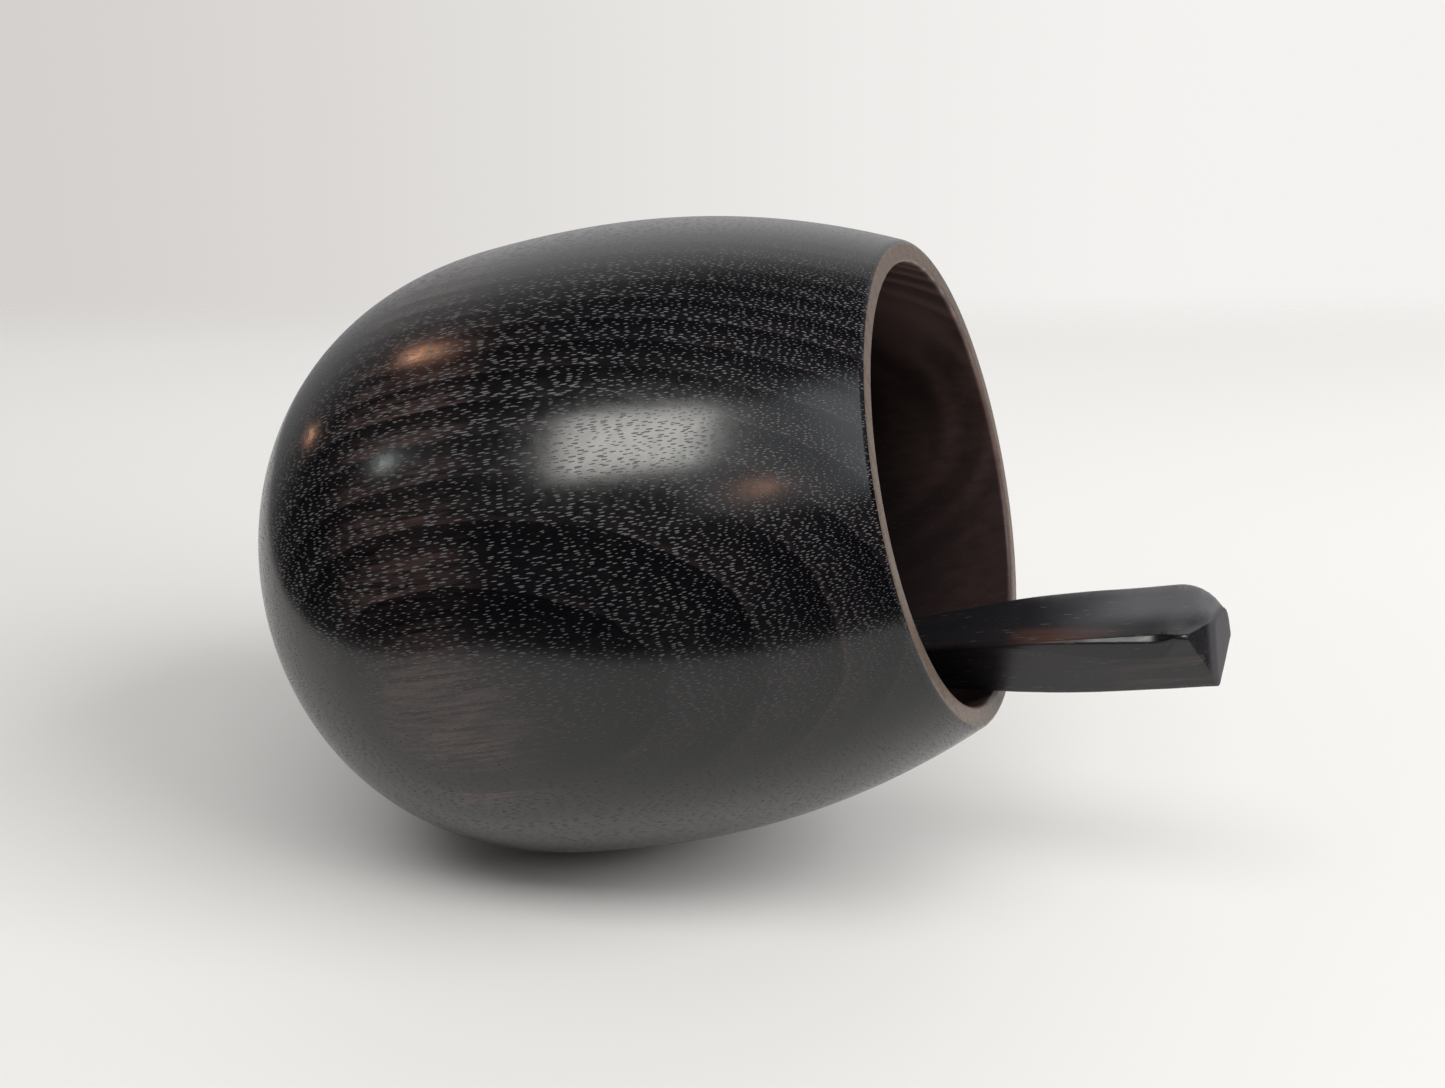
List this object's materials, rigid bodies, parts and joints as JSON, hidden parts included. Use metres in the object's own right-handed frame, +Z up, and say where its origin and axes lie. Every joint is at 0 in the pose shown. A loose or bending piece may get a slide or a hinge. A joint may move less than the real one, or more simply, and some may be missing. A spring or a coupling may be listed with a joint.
{
  "type": "wooden cup with spoon",
  "caption": "Handle-less barrel-shaped drinking cup turned from dark walnut, with a thin rim, a flat base and a small carved spoon standing in it.",
  "frame": {"origin": "centre of the cup's flat underside", "axes": "+Z up the cup's axis, out of its mouth; +Y towards the side of the wall that the spoon lies against; +X completes the frame"},
  "size_m": [0.0752, 0.0752, 0.1091],
  "materials": {
    "cup_wood": "oiled, satin",
    "spoon_wood": "oiled, satin"
  },
  "bodies": {
    "cup": {"cup": "cup_wood"},
    "spoon": {"spoon": "spoon_wood"}
  },
  "joints": [
    {"name": "spoon_lift", "type": "slide", "parent": "cup", "child": "spoon", "axis": [0.0979, -0.1763, 0.9795], "range_m": [0, 0.075]}
  ]
}
